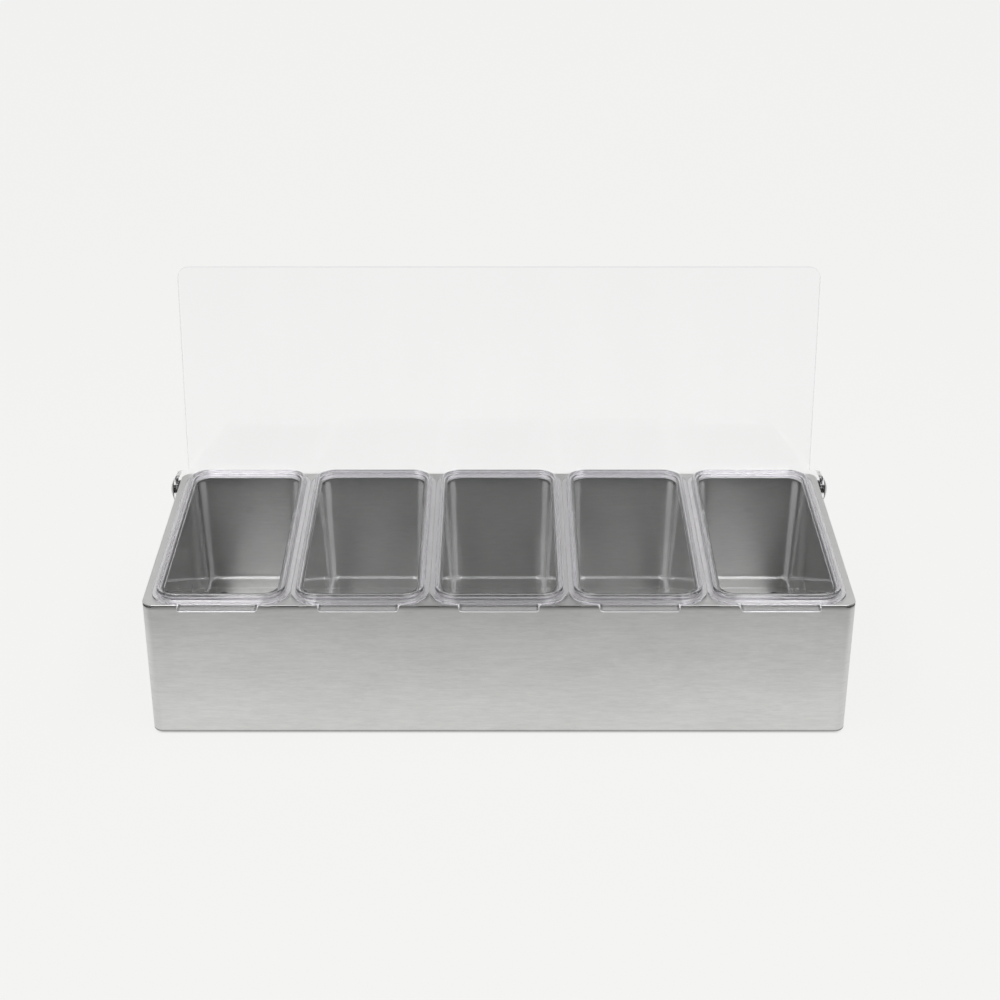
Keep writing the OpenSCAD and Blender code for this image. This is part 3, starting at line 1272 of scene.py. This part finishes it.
@dataclass
class ClearInsert(SubAssembly):
    """One lift-out insert: a leaning tub, a stepped rim and a thumb tab."""

    plan: CaddyPlan
    pitch: float = 93.3
    rim: RoundedOutline = RoundedOutline(93.0, 193.4, 17.0)
    flange: float = 1.4
    ridge_high: float = 5.6
    ridge_inset: float = 3.2
    step_inset: float = 5.4
    step_drop: float = 1.2
    mouth_inset: float = 8.2
    wall: float = 1.6
    tub_depth: float = 85.0
    draft_lean: float = 3.8
    floor_radius: float = 6.5
    floor_fillet: float = 4.5
    groove_inset: float = 4.7
    tab_root: float = 27.7
    tab_tip: float = 26.5
    tab_reach: float = 10.2
    tab_thick: float = 1.1
    tab_round: float = 2.6
    rest_gap: float = 0.06
    arc_steps: int = 12
    plan_radii: tuple[tuple[float, float], ...] = (
        (0.0, 17.0),
        (3.2, 14.2),
        (5.4, 12.2),
        (8.2, 10.4),
    )
    floor_flat: float = 14.0
    floor_flat_radius: float = 2.0
    groove_roof: float = 1.5
    tip_stations: tuple[float, ...] = (0.0, 7.0, 14.0, 19.0)
    side_stations: tuple[float, ...] = (0.3, 0.6)
    flare: tuple[tuple[float, float], ...] = (
        (27.35, 1.9),
        (27.55, 1.2),
        (27.95, 0.65),
        (28.5, 0.25),
        (29.2, 0.0),
    )
    edge_steps: int = 6
    edge_from: float = 1.0
    edge_drop: float = 0.1
    under_rings: tuple[tuple[float, float], ...] = ((0.0, 0.24), (0.1, 0.12))
    trim_from: float = 1.5
    finish: ClearMoulding = ClearMoulding(
        name="clear_moulding",
        tint=(0.985, 0.986, 0.985),
        thick_tint=(0.965, 0.957, 0.974),
        painted_edge_shade=(0.8, 0.78, 0.83),
        ior=1.58,
        roughness=0.012,
        flow_depth=0.0015,
        edges_from=100.0,
        rim=RoundedOutline(93.0, 193.4, 17.0, y=-8.9),
        tab=RoundedOutline(53.8, 20.4, 2.6, y=-105.6),
        row_pitch=93.3,
    )

    @property
    def mouth_z(self) -> float:
        """Height of the tub's mouth over the steel."""
        return self.ridge_high - self.step_drop

    def radius_at(self, inset: float) -> float:
        """Corner radius of the rim's outline at an inset from its edge.

        Args:
            inset: Distance inwards from the rim's edge.

        Returns:
            The radius.
        """
        for (a, ra), (b, rb) in zip(self.plan_radii, self.plan_radii[1:]):
            if inset <= b:
                return ra + (rb - ra) * (inset - a) / (b - a)
        return self.plan_radii[-1][1]

    def tab_half(self) -> list[tuple[float, float]]:
        """Outlines half of the thumb tab, from its middle to the rim's corner.

        Returns:
            For each point, its distance from the middle and its reach in front of the rim.
        """
        tip, reach, soft = self.tab_tip, self.tab_reach, self.tab_round
        outline = [(x, reach) for x in self.tip_stations]
        for k in range(7):
            corner = round_point(soft, 0.0, 0.25 - k / 24, tip - soft, reach - soft)
            outline.append((corner.x, corner.y))
        x, y = outline[-1]
        for share in self.side_stations:
            outline.append((x + (self.tab_root - x) * share, y * (1 - share)))
        return [*outline, *self.flare]

    def ring(self, spot: Corner, tab: float | None = None) -> list[Vector]:
        """Draws one ring of the moulding.

        Args:
            spot: The ring's inset, height and corner radius.
            tab: How far the ring is trimmed from the tab's edge, or None where it keeps off
                the tab.

        Returns:
            The ring's points.
        """
        outline = replace(self.rim.grown(-spot.across), radius=spot.plan_radius)
        walk = outline.points(spot.z, self.arc_steps)
        side = len(walk) // 4
        walk = walk[: 3 * side + self.arc_steps + 1]
        half = self.tab_half()
        straight = outline.width / 2 - outline.radius
        full = self.rim.width / 2 - self.rim.radius
        front = -outline.depth / 2
        for x, reach in [(-x, reach) for x, reach in reversed(half)] + half[1:]:
            if tab is None or reach <= 0:
                walk.append(Vector((x * straight / full, front, spot.z)))
                continue
            trim = tab * min(1.0, reach / self.trim_from)
            trim_x = trim if reach < self.tab_reach - 0.2 else 0.0
            y = front - max(reach - trim, 0.0)
            walk.append(Vector((x - math.copysign(trim_x, x), y, spot.z)))
        return walk

    def upper_section(self) -> list[Corner]:
        """The section from the middle of the tub's floor out to the edge of the rim.

        Returns:
            The section, with heights over the steel and insets from the rim's edge.
        """
        mouth, step, ridge = self.mouth_inset, self.step_inset, self.ridge_inset
        at_mouth, at_step, at_ridge = (self.radius_at(inset) for inset in (mouth, step, ridge))
        floor_inset = mouth + self.draft_lean
        floor_z = -self.tub_depth + self.wall
        return softened(
            [
                Corner(floor_inset + self.floor_flat, floor_z, 0, self.floor_flat_radius),
                Corner(floor_inset, floor_z, self.floor_fillet, self.floor_radius),
                Corner(mouth, self.mouth_z, 0.7, at_mouth),
                Corner(step, self.mouth_z, 0.45, at_step),
                Corner(step - 0.15, self.ridge_high, 0.6, at_step),
                Corner(ridge + 0.2, self.ridge_high, 0.9, at_ridge),
                Corner(ridge, self.flange, 0.7, at_ridge),
                Corner(0, self.flange, 0.45, self.rim.radius),
                Corner(0, self.tab_thick, 0, self.rim.radius),
            ],
            6,
        )

    def lower_section(self) -> list[Corner]:
        """The section from the underside of the rim back to the middle of the tub's underside.

        Returns:
            The section, with heights over the steel and insets from the rim's edge.
        """
        groove, wall, under = self.groove_inset, self.wall, -self.tub_depth
        outer_mouth = self.mouth_inset - wall
        outer_floor = outer_mouth + self.draft_lean
        groove_top = self.mouth_z - self.groove_roof
        at_groove, at_mouth = self.radius_at(groove), self.radius_at(outer_mouth)
        return softened(
            [
                Corner(0.3, self.rest_gap, 0, self.rim.radius - 0.3),
                Corner(groove, self.rest_gap, 0.4, at_groove),
                Corner(groove + 0.1, groove_top, 0.8, at_groove),
                Corner(outer_mouth, groove_top, 0.8, at_mouth),
                Corner(outer_floor, under, self.floor_fillet + wall, self.floor_radius + wall),
                Corner(outer_floor + self.floor_flat, under, 0, self.floor_flat_radius),
            ],
            6,
        )

    def edge_rings(self) -> list[list[Vector]]:
        """Draws the rings down the rim's upright edge, which run out round the tab's own edge.

        Returns:
            The rings, from the flange's upper side down.
        """
        middle = (self.tab_thick + self.rest_gap) / 2
        half = (self.tab_thick - self.rest_gap) / 2
        rings = []
        for step in range(self.edge_steps + 1):
            turn = math.pi * (0.5 - step / self.edge_steps)
            z = self.edge_from - self.edge_drop * step
            trim = half * (1 - math.cos(turn))
            ring = self.ring(Corner(0, z, 0, self.rim.radius), tab=trim)
            for point in ring:
                if point.y < -self.rim.depth / 2 - 0.02:
                    point.z = middle + half * math.sin(turn)
            rings.append(ring)
        return rings

    def moulding(self, number: int) -> bpy.types.Object:
        """Draws one insert in one closed skin.

        Args:
            number: Its place in the row, from 1 at the left.

        Returns:
            The insert.
        """
        rings = [self.ring(c) for c in self.upper_section()]
        rings += self.edge_rings()
        rings += [self.ring(Corner(x, z, 0, self.rim.radius)) for x, z in self.under_rings]
        rings += [self.ring(c) for c in self.lower_section()]
        draft = MeshDraft()
        made = draft.loft(rings)
        draft.cap(made[0])
        draft.cap(made[-1])
        shift = Vector(((number - 3) * self.pitch, 0, self.plan.top))
        bmesh.ops.translate(draft.bm, vec=shift, verts=draft.bm.verts)
        piece = draft.piece(f"insert_{number}_moulding")
        smooth(piece, 70.0)
        return piece

    def build(self) -> None:
        """Makes and dresses the five inserts."""
        clear = self.finish.material()
        for number in range(1, 6):
            node = f"insert_{number}"
            self.hand_over(self.moulding(number), node, node, Slot.INSERT, clear)


@dataclass
class HingedCover(SubAssembly):
    """The clear cover: one sheet with two ears bent down to the hinge."""

    plan: CaddyPlan
    width: float = 468.4
    thick: float = 3.0
    reach: float = 165.5
    tail: float = 16.8
    rise: float = 15.0
    corner: float = 8.0
    ear_radius: float = 9.0
    ear_inner_x: float = 239.0
    bend_radius: float = 2.0
    bore: float = 3.05
    open_angle: float = 97.6
    edge_soften: float = 0.5
    finish: ClearSheet = ClearSheet(
        name="clear_sheet",
        tint=(0.996, 0.998, 1.0),
        painted_edge_shade=(0.8, 0.8, 0.83),
        painted_frost_shade=(0.76, 0.76, 0.79),
        painted_side_shade=(0.2, 0.2, 0.22),
        ior=1.3,
        roughness=0.004,
        flow_depth=0.004,
        edges_from=106.0,
        flat_way=(0.0, 0.991, -0.132),
        pivot=(76.1, 95.8),
    )

    def panel_half(self, side: int) -> list[Vector]:
        """Half of the panel's edge, from the middle of its front to the middle of its rear.

        Args:
            side: 1 for the right half, -1 for the left.

        Returns:
            The points, with the two ends of the bend line in them.
        """
        half, soft, ear = self.width / 2, self.corner, self.ear_radius
        bend_x = self.ear_inner_x - self.bend_radius
        middle = (half - soft, soft - self.reach)
        points = [round_point(soft, self.rise, k / 48 - 0.25, *middle) for k in range(13)]
        for x, y in ((half, -ear), (bend_x, -ear), (bend_x, ear), (half, ear), (half, self.tail)):
            points.append(Vector((x, y, self.rise)))
        for point in points:
            point.x *= side
        return points

    def ear(self, draft: MeshDraft, start: Ring, side: int) -> None:
        """Bends the sheet down into one ear, and draws the ear with its bore.

        Args:
            draft: The sheet's mesh.
            start: The two ends of the bend line, front first.
            side: 1 for the right ear, -1 for the left.
        """
        radius, ear = self.bend_radius, self.ear_radius
        middle = (self.ear_inner_x - radius, self.rise - radius)
        front, rear = start
        for k in range(1, 9):
            bend = round_point(radius, 0.0, (1 - k / 8) / 4, *middle)
            after = draft.ring([Vector((side * bend.x, y, bend.y)) for y in (-ear, ear)])
            draft.bm.faces.new((front, rear, after[1], after[0]))
            front, rear = after
        x = side * self.ear_inner_x
        arc = [Vector((x, *round_point(ear, 0.0, -k / 48).xy)) for k in range(25)]
        bore = [Vector((x, *round_point(self.bore, 0.0, k / 32).xy)) for k in range(32)]
        draft.fill([[front, rear, *draft.ring(arc)], draft.ring(bore)])

    def sheet(self) -> bpy.types.Object:
        """Draws the cover standing open.

        Returns:
            The cover.
        """
        draft = MeshDraft()
        right = draft.ring(self.panel_half(1))
        left = draft.ring(self.panel_half(-1))
        draft.fill([right + left[::-1]])
        bend = len(right) - 4
        for side, half in ((1, right), (-1, left)):
            self.ear(draft, [half[bend], half[bend + 1]], side)
        bmesh.ops.recalc_face_normals(draft.bm, faces=draft.bm.faces)
        widest = max(draft.bm.faces, key=lambda f: f.calc_area())
        if widest.normal.z < 0:
            bmesh.ops.reverse_faces(draft.bm, faces=draft.bm.faces)
        piece = draft.sheet_piece("cover_sheet")
        solid = piece.modifiers.new("solid", "SOLIDIFY")
        solid.thickness = self.thick * MM
        solid.offset = 1.0
        solid.use_even_offset = True
        bevel = piece.modifiers.new("edges", "BEVEL")
        bevel.width = self.edge_soften * MM
        bevel.segments = 3
        bevel.limit_method = "ANGLE"
        bevel.angle_limit = math.radians(50)
        settle(piece)
        hinge = Matrix.Translation((0, self.plan.pivot_y * MM, self.plan.pivot_z * MM))
        piece.data.transform(hinge @ Matrix.Rotation(math.radians(-self.open_angle), 4, "X"))
        smooth(piece, 60.0)
        return piece

    def build(self) -> None:
        """Makes and dresses the cover."""
        clear = self.finish.material()
        self.hand_over(self.sheet(), "cover", Body.COVER.value, Slot.COVER, clear)


def hinge_place(plan: CaddyPlan, side: Side) -> Matrix:
    """The frame at one end of the hinge line, with +Z pointing out of the wall.

    Args:
        plan: The shared sizes.
        side: Which end.

    Returns:
        The frame, in millimetres.
    """
    end = Matrix.Translation((side.value * plan.width / 2, plan.pivot_y, plan.pivot_z))
    return end @ Matrix.Rotation(math.radians(90 * side.value), 4, "Y")


@dataclass(frozen=True)
class Washer:
    """One kind of washer: its radii, and the height of its inner face over the wall."""

    part: str
    radius: float
    bore: float
    low: float
    thick: float
    slot: Slot


@dataclass
class HingeSet(SubAssembly):
    """The screw, washers and lock nut at each end of the hinge line."""

    plan: CaddyPlan
    head_washer: Washer = Washer("head_washer", 6.5, 3.05, 4.1, 0.5, Slot.NYLON)
    spacer: Washer = Washer("spacer_washer", 6.5, 3.05, 0.0, 0.9, Slot.NYLON)
    inner_washer: Washer = Washer("inner_washer", 5.0, 2.05, -1.6, 0.8, Slot.SCREW)
    shoulder: float = 3.0
    shoulder_edge: float = 0.15
    head_radius: float = 8.0
    head_height: float = 2.4
    recess: tuple[float, float, float] = (5.0, 1.1, 1.3)
    recess_soften: float = 0.15
    thread: float = 2.0
    thread_end: float = 1.2
    thread_pitch: float = 0.7
    thread_depth: float = 0.25
    thread_taper: tuple[float, float] = (0.6, 1.2)
    rings_per_pitch: int = 6
    nut_flats: float = 7.0
    nut_height: float = 5.0
    nut_collar: float = 1.2
    nut_bore: float = 2.05
    bore_chamfer: float = 0.25
    collar_chamfer: float = 0.35
    nut_chamfer: float = 0.45
    steps: int = 60
    nut_steps: int = 72
    screw_finish: PolishedScrew = PolishedScrew("screw_steel_bright")
    nylon_finish: DarkPolymer = DarkPolymer("nylon_black", (0.022, 0.022, 0.023), 0.5, 0.01)

    def screw(self, side: Side) -> bpy.types.Object:
        """Draws a domed shoulder screw with a crossed slot and a real thread.

        Args:
            side: Which end of the hinge line.

        Returns:
            The screw.
        """
        place = hinge_place(self.plan, side)
        shoulder, edge, head = self.shoulder, self.shoulder_edge, self.head_radius
        under_head = self.head_washer.low + self.head_washer.thick
        top = under_head + self.head_height
        dome = (head**2 + self.head_height**2) / (2 * self.head_height)
        profile = [
            (shoulder - edge, 0.0),
            (shoulder, edge),
            (shoulder, under_head),
            (head - 0.25, under_head),
            (head - 0.02, under_head + 0.22),
        ]
        for k in range(1, 13):
            r = (head - 0.1) * (1 - k / 13)
            profile.append((r, top - dome + math.sqrt(dome**2 - r**2)))
        rings = self.thread_rings(place)
        for r, h in profile:
            rings.append([place @ round_point(r, h, k / self.steps) for k in range(self.steps)])
        draft = MeshDraft()
        made = draft.loft(rings)
        draft.cap(made[0])
        draft.cap(made[-1])
        piece = draft.piece(f"screw_{side.name.lower()}")
        length, slot_width, depth = self.recess
        for reach_x, reach_y in ((length, slot_width), (slot_width, length)):
            low = Vector((-reach_x / 2, -reach_y / 2, top - depth))
            high = Vector((reach_x / 2, reach_y / 2, top + depth))
            cutter = MeshDraft()
            cutter.slab(low, high, self.recess_soften)
            bmesh.ops.transform(cutter.bm, matrix=place, verts=cutter.bm.verts)
            cut_away(piece, cutter.piece("slot_cutter"))
        smooth(piece, 35.0)
        return piece

    def thread_rings(self, place: Matrix) -> list[list[Vector]]:
        """Draws the helical thread, from its end up to the shoulder.

        Args:
            place: The hinge's frame.

        Returns:
            The thread's rings.
        """
        length = self.nut_height + self.thread_end - self.inner_washer.low
        count = int(length / (self.thread_pitch / self.rings_per_pitch))
        tip, run = self.thread_taper
        rings = []
        for n in range(count):
            z = -length * (1 - n / count)
            taper = min(1.0, tip + (length + z) / run)
            points = []
            for turn in (k / self.steps for k in range(self.steps)):
                wave = abs(((z / self.thread_pitch + turn) % 1.0) * 2 - 1)
                radius = (self.thread - self.thread_depth * wave) * taper
                points.append(place @ round_point(radius, z, turn))
            rings.append(points)
        return rings

    def washer(self, kind: Washer, side: Side) -> bpy.types.Object:
        """Draws a flat washer with softened edges.

        Args:
            kind: Its sizes.
            side: Which end of the hinge line.

        Returns:
            The washer.
        """
        low, high = kind.low, kind.low + kind.thick
        middle = (kind.radius + kind.bore) / 2
        soft = min(0.18, kind.thick * 0.3)
        section = softened(
            [
                Corner(middle, low),
                Corner(kind.radius, low, soft),
                Corner(kind.radius, high, soft),
                Corner(kind.bore, high, soft),
                Corner(kind.bore, low, soft),
                Corner(middle - 0.4, low),
            ],
            3,
        )
        draft = MeshDraft()
        draft.turn([(c.across, c.z) for c in section], hinge_place(self.plan, side))
        piece = draft.piece(f"{kind.part}_{side.name.lower()}_ring")
        smooth(piece)
        return piece

    def nut(self, side: Side) -> bpy.types.Object:
        """Draws a lock nut: a chamfered hexagon over a round collar.

        Args:
            side: Which end of the hinge line.

        Returns:
            The nut.
        """
        flat, bore = self.nut_flats / 2, self.nut_bore
        high = self.inner_washer.low
        low = high - self.nut_height
        collar = low + self.nut_collar
        corner = flat / math.cos(math.pi / 6)
        limits = [
            (bore + self.bore_chamfer, low),
            (flat - self.collar_chamfer, low),
            (flat, low + self.collar_chamfer),
            (flat, collar - 0.02),
            (flat + 0.1, collar),
            (corner, collar + self.nut_chamfer),
            (corner, high - self.nut_chamfer),
            (flat, high),
            (bore + self.bore_chamfer, high),
            (bore, high - self.bore_chamfer),
            (bore, low + self.bore_chamfer),
        ]
        place = hinge_place(self.plan, side)
        rings = []
        for limit, z in limits:
            points = []
            for turn in (k / self.nut_steps for k in range(self.nut_steps)):
                off_flat = (2 * math.pi * turn + math.pi / 6) % (math.pi / 3) - math.pi / 6
                r = min(limit, flat / math.cos(off_flat))
                points.append(place @ round_point(r, z, turn))
            rings.append(points)
        draft = MeshDraft()
        draft.loft(rings, closed=True)
        piece = draft.piece(f"nut_{side.name.lower()}")
        smooth(piece, 25.0)
        return piece

    def build(self) -> None:
        """Makes and dresses the hinge pieces at both ends."""
        bright, caddy = self.screw_finish.material(), Body.CADDY.value
        finishes = {Slot.SCREW: bright, Slot.NYLON: self.nylon_finish.material()}
        for side in Side:
            end = side.name.lower()
            self.hand_over(self.screw(side), f"pivot_screw_{end}", caddy, Slot.SCREW, bright)
            self.hand_over(self.nut(side), f"lock_nut_{end}", caddy, Slot.SCREW, bright)
            for kind in (self.head_washer, self.spacer, self.inner_washer):
                made, node = self.washer(kind, side), f"{kind.part}_{end}"
                self.hand_over(made, node, caddy, kind.slot, finishes[kind.slot])


@dataclass
class RubberFeet(SubAssembly):
    """The four push-in feet."""

    plan: CaddyPlan
    radius: float = 8.5
    taper: float = 0.5
    hollow: float = 0.35
    hollow_inset: tuple[float, float] = (3.6, 3.2)
    stem: float = 3.0
    bulge: float = 4.0
    bulge_height: float = 2.5
    finish: DarkPolymer = DarkPolymer("rubber_black", (0.03, 0.03, 0.03), 0.72, 0.03)

    def foot(self, name: str, x: float, y: float) -> bpy.types.Object:
        """Draws one foot: a pad with a hollow sole, and a stem with its bulge.

        Args:
            name: The piece's name.
            x: Its place across the box.
            y: Its place along the box's depth.

        Returns:
            The foot.
        """
        high, radius = self.plan.foot_height, self.radius
        bulge_z = high + self.plan.sheet
        inner, outer = (radius - inset for inset in self.hollow_inset)
        section = softened(
            [
                Corner(0.0, self.hollow),
                Corner(inner, self.hollow, 0.3),
                Corner(outer, 0.0, 0.2),
                Corner(radius - self.taper, 0.0, 0.35),
                Corner(radius, high, 0.25),
                Corner(self.stem, high, 0.1),
                Corner(self.stem, bulge_z, 0.05),
                Corner(self.bulge, bulge_z + 0.15, 0.3),
                Corner(self.stem, bulge_z + self.bulge_height, 0.3),
                Corner(0.0, bulge_z + self.bulge_height),
            ],
            4,
        )
        draft = MeshDraft()
        draft.turn([(c.across, c.z) for c in section], Matrix.Translation((x, y, 0)))
        piece = draft.piece(name)
        smooth(piece)
        return piece

    def build(self) -> None:
        """Makes and dresses the four feet."""
        rubber = self.finish.material()
        for row in Row:
            for side in Side:
                node = f"foot_{row.name.lower()}_{side.name.lower()}"
                made = self.foot(f"{node}_rubber", *self.plan.foot_middle(side, row))
                self.hand_over(made, node, Body.CADDY.value, Slot.RUBBER, rubber)


# ---- studio ----


@dataclass
class Studio:
    """The camera, the pale floor, two soft lamps and a pale sky."""

    plan: CaddyPlan
    camera_at: tuple[float, float, float] = (0.0007, -1.2233, 0.7628)
    camera_pitch: float = 62.5
    lens: float = 70.24
    sensor: float = 36.0
    floor_size: float = 24.0
    floor_cells: int = 24
    lamp_at: tuple[float, float, float] = (0.5, -0.8, 1.2)
    lamp_size: tuple[float, float] = (0.46, 2.2)
    lamp_level: float = 3.4
    sky: tuple[tuple[float, float], ...] = (
        (0.0, 0.9),
        (0.3, 0.85),
        (0.46, 0.85),
        (0.7, 0.26),
        (1.0, 0.1),
    )
    front: Fade = Fade(-0.7, 0.1, 0.85, 1.0)
    most_bounces: int = 28
    glossy_bounces: int = 12
    clear_bounces: int = 24

    def camera(self) -> None:
        """Sets the camera up."""
        data = bpy.data.cameras.new("camera")
        data.sensor_width = self.sensor
        data.lens = self.lens
        made = bpy.data.objects.new("camera", data)
        made.location = self.camera_at
        made.rotation_euler = (math.radians(self.camera_pitch), 0, 0)
        bpy.context.scene.collection.objects.link(made)
        bpy.context.scene.camera = made

    def floor(self) -> None:
        """Lays the pale floor under the feet."""
        bm, cells = bmesh.new(), self.floor_cells
        bmesh.ops.create_grid(bm, x_segments=cells, y_segments=cells, size=self.floor_size / 2)
        mesh = bpy.data.meshes.new("floor")
        bm.to_mesh(mesh)
        bm.free()
        mesh.materials.append(StudioPaper("studio_paper", self.plan).material())
        made = bpy.data.objects.new("floor", mesh)
        bpy.context.scene.collection.objects.link(made)

    def lamps(self) -> None:
        """Hangs one soft lamp over each end of the caddy."""
        width, depth = self.lamp_size
        for side in Side:
            data = bpy.data.lights.new(f"soft_lamp_{side.name.lower()}", "AREA")
            data.shape = "RECTANGLE"
            data.size, data.size_y = width, depth
            data.energy = self.lamp_level * math.pi * width * depth
            made = bpy.data.objects.new(data.name, data)
            x, y, z = self.lamp_at
            made.location = (side.value * x, y, z)
            bpy.context.scene.collection.objects.link(made)

    def sky_light(self) -> None:
        """Lights the set from a sky that is pale low down and dim in front and overhead."""
        world = bpy.data.worlds.new("studio_sky")
        bpy.context.scene.world = world
        world.use_nodes = True
        bench = NodeBench(world.node_tree, "ShaderNodeOutputWorld")
        place = bench.add("ShaderNodeTexCoord", {}).outputs["Generated"]
        split = bench.add("ShaderNodeSeparateXYZ", {0: place}).outputs
        level = bench.product(bench.curve(split[2], self.sky), bench.fade(split[1], self.front))
        sky = bench.add("ShaderNodeBackground", {"Color": (*WHITE, 1.0), "Strength": level})
        bench.links.new(sky.outputs[0], bench.output.inputs["Surface"])

    def build(self) -> None:
        """Sets the whole studio up."""
        self.camera()
        self.floor()
        self.lamps()
        self.sky_light()
        bpy.context.scene.view_settings.view_transform = "Standard"
        light = bpy.context.scene.cycles
        light.max_bounces = self.most_bounces
        light.glossy_bounces = self.glossy_bounces
        light.transmission_bounces = light.transparent_max_bounces = self.clear_bounces


def main() -> None:
    """Loads the frame and builds each sub-assembly round it."""
    logging.basicConfig(level=logging.INFO, format="%(message)s")
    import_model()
    plan = CaddyPlan()
    for part in (SteelBox, ClearInsert, HingedCover, HingeSet, RubberFeet, Studio):
        part(plan).build()


if __name__ == "__main__":
    main()
